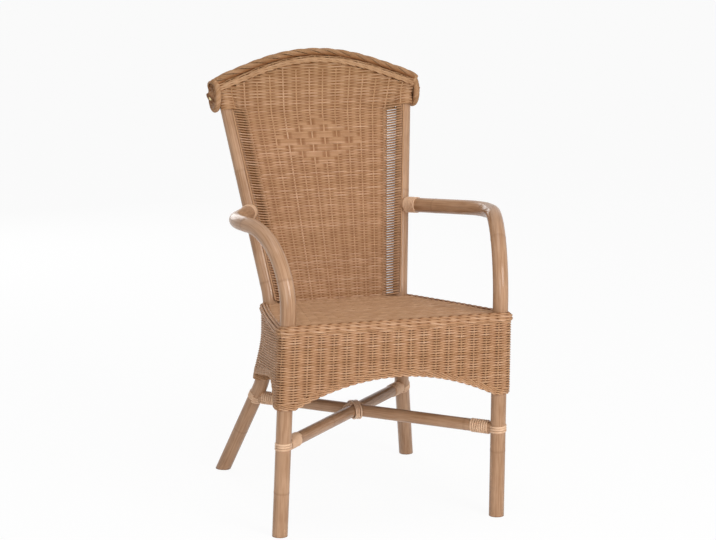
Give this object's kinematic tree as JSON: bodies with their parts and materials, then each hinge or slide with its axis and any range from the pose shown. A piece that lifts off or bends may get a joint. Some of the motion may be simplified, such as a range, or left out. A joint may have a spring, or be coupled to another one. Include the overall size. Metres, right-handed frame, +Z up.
{
  "type": "armchair",
  "caption": "Bent rattan pole armchair with woven wicker seat, skirt and raked back, rolled arched crest, continuous leg-and-arm poles and crossed stretchers.",
  "frame": {"origin": "on the floor, under the middle of the chair's bounding box", "axes": "+Z up, +Y to the back of the chair, +X to the right of someone who looks at its front"},
  "size_m": [0.5928, 0.6538, 0.9731],
  "materials": {
    "pole": "clear lacquered rattan pole",
    "weave": "lacquered rattan core weave",
    "binding": "pale rattan peel",
    "steel": "zinc plated",
    "nail": "polished round head"
  },
  "bodies": {
    "root": {"front_leg_arm_left": "pole", "front_leg_arm_right": "pole", "rear_leg_post_left": "pole", "rear_leg_post_right": "pole", "seat_rail_front": "pole", "seat_rail_rear": "pole", "seat_rail_left": "pole", "seat_rail_right": "pole", "seat_cross_rail": "pole", "stretcher_left_to_right": "pole", "stretcher_right_to_left": "pole", "crest_rail": "pole", "back_panel": "weave", "crest_scroll": "weave", "crest_braid": "weave", "scroll_braid": "weave", "back_lacing_left": "weave", "back_lacing_right": "weave", "seat_panel": "weave", "skirt_front": "weave", "skirt_left": "weave", "skirt_right": "weave", "skirt_rear": "weave", "leg_braid_left": "weave", "leg_braid_right": "weave", "binding_front_left": "binding", "binding_front_right": "binding", "binding_rear_left": "binding", "binding_rear_right": "binding", "binding_crossing": "binding", "arm_binding_left": "binding", "arm_binding_right": "binding", "frame_screws": "steel", "crest_nails": "nail"}
  },
  "joints": []
}
